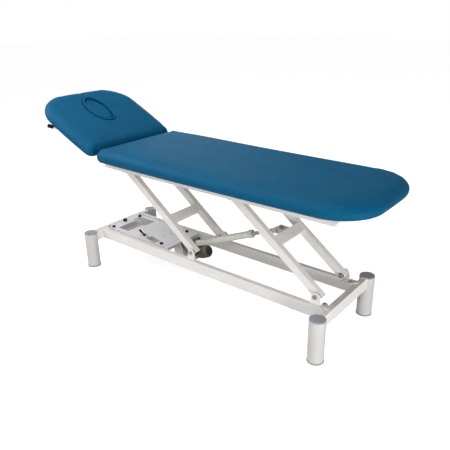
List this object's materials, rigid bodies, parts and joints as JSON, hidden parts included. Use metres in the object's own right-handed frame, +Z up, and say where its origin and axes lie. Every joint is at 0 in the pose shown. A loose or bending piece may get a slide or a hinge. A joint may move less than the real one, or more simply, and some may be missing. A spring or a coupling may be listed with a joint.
{
  "type": "medical exam table",
  "caption": "Electric height-adjustable exam table with a parallelogram lift on a low base, a padded bed and a tilting headrest with a face opening.",
  "frame": {"origin": "on the floor, under the middle of the whole table in plan", "axes": "+X along the bed towards the foot end, +Y towards the left rail, +Z up"},
  "size_m": [2.0444, 0.62, 0.9831],
  "materials": {
    "frame_paint": "warm white powder coat, semi-gloss",
    "vinyl": "blue upholstery vinyl with a fine grain",
    "board": "sealed plywood",
    "cap_grey": "moulded blue-grey plastic",
    "black_plastic": "moulded black plastic",
    "pad_rubber": "grey rubber",
    "zinc": "zinc plated steel",
    "chrome": "polished chrome",
    "actuator_alloy": "satin anodised aluminium",
    "collar_plastic": "light grey moulded plastic",
    "motor_plastic": "dark grey moulded plastic",
    "bush_plastic": "dark nylon",
    "gas_black": "black enamel"
  },
  "bodies": {
    "base": {"leg_head_left": "frame_paint", "leg_head_right": "frame_paint", "leg_foot_left": "frame_paint", "leg_foot_right": "frame_paint", "leg_caps": "cap_grey", "foot_pads": "pad_rubber", "crossbeam_head": "frame_paint", "crossbeam_foot": "frame_paint", "side_rail_left": "frame_paint", "side_rail_right": "frame_paint", "actuator_cross_tube": "frame_paint", "actuator_bracket": "frame_paint", "lower_brackets": "frame_paint", "lower_pivot_bolts": "zinc", "base_screws": "zinc", "cover_plate": "frame_paint", "cover_cap_screws": "black_plastic", "lock_lever_base": "collar_plastic", "control_box": "motor_plastic", "mains_inlet": "black_plastic"},
    "lock_lever": {"lock_lever": "black_plastic"},
    "head_arms": {"head_arm_left": "frame_paint", "head_arm_right": "frame_paint", "head_arm_crossbar": "frame_paint", "head_arm_bushes": "bush_plastic", "head_arm_plugs": "black_plastic"},
    "foot_arms": {"foot_arm_left": "frame_paint", "foot_arm_right": "frame_paint", "foot_arm_crossbar": "frame_paint", "foot_arm_bushes": "bush_plastic", "foot_arm_plugs": "black_plastic", "actuator_lugs": "frame_paint", "actuator_front_pin": "zinc"},
    "bed_frame": {"top_rail_left": "frame_paint", "top_rail_right": "frame_paint", "top_cross_tubes": "frame_paint", "upper_brackets": "frame_paint", "upper_pivot_bolts": "zinc", "rail_end_plugs": "collar_plastic", "bed_board": "board", "bed_cushion": "vinyl", "headrest_hinge_plates": "frame_paint", "headrest_hinge_pins": "zinc"},
    "headrest": {"headrest_tube_left": "frame_paint", "headrest_tube_right": "frame_paint", "headrest_crossbar": "frame_paint", "headrest_board": "board", "headrest_cushion": "vinyl"},
    "face_plug": {"face_plug": "vinyl"},
    "release_lever": {"release_lever": "chrome", "lever_grip": "black_plastic"},
    "gas_spring_barrel": {"gas_spring_barrel": "gas_black"},
    "gas_spring_rod": {"gas_spring_rod": "zinc"},
    "actuator_rod": {"actuator_rod": "chrome", "rod_eye": "zinc"},
    "actuator_barrel": {"actuator_tube": "actuator_alloy", "actuator_collar": "collar_plastic", "gear_housing": "motor_plastic", "motor": "motor_plastic"}
  },
  "joints": [
    {"name": "lift", "type": "hinge", "parent": "base", "child": "head_arms", "pos_m": [0.00975, 0, 0.254], "axis": [0, 1, 0], "range_deg": [-26, 20]},
    {"name": "bed_level", "type": "hinge", "parent": "head_arms", "child": "bed_frame", "pos_m": [-0.47751, 0, 0.62924], "axis": [0, 1, 0], "range_deg": [-20.5, 26.5]},
    {"name": "foot_arm_swing", "type": "hinge", "parent": "base", "child": "foot_arms", "pos_m": [0.76275, 0, 0.254], "axis": [0, 1, 0], "range_deg": [-26.5, 20.5]},
    {"name": "actuator_front_pivot", "type": "hinge", "parent": "foot_arms", "child": "actuator_rod", "pos_m": [0.46453, 0, 0.45842], "axis": [0, 1, 0], "range_deg": [-26.5, 34]},
    {"name": "actuator_stroke", "type": "slide", "parent": "actuator_rod", "child": "actuator_barrel", "axis": [-0.921, 0, -0.3895], "range_m": [-0.124, 0.096]},
    {"name": "headrest_tilt", "type": "hinge", "parent": "bed_frame", "child": "headrest", "pos_m": [-0.54225, 0, 0.6755], "axis": [0, 1, 0], "range_deg": [-56, 4]},
    {"name": "gas_spring_swing", "type": "hinge", "parent": "bed_frame", "child": "gas_spring_barrel", "pos_m": [-0.19125, 0, 0.64], "axis": [0, 1, 0], "range_deg": [-9, 1.5]},
    {"name": "gas_spring_stroke", "type": "slide", "parent": "gas_spring_barrel", "child": "gas_spring_rod", "axis": [-1, 0, -0.0026], "range_m": [-0.066, 0.006]},
    {"name": "headrest_release", "type": "hinge", "parent": "headrest", "child": "release_lever", "pos_m": [-0.65295, 0, 0.69945], "axis": [0, 1, 0], "range_deg": [0, 5], "stiffness_Nm_per_rad": 4, "springref_deg": -22.92},
    {"name": "face_plug_lift", "type": "slide", "parent": "headrest", "child": "face_plug", "axis": [0.4384, 0, 0.8988], "range_m": [0, 0.09]},
    {"name": "lock_lever_turn", "type": "hinge", "parent": "base", "child": "lock_lever", "pos_m": [-0.41625, -0.088, 0.222], "axis": [0, 0, 1], "range_deg": [0, 90]}
  ],
  "couplings": [
    {"joint": "bed_level", "follows": "lift", "ratio": -1},
    {"joint": "foot_arm_swing", "follows": "lift", "ratio": 1},
    {"joint": "actuator_front_pivot", "follows": "lift", "ratio": -1.2822},
    {"joint": "actuator_stroke", "follows": "lift", "m_per_rad": 0.2687},
    {"joint": "gas_spring_swing", "follows": "headrest_tilt", "ratio": 0.14952},
    {"joint": "gas_spring_stroke", "follows": "headrest_tilt", "m_per_rad": 0.065018}
  ]
}
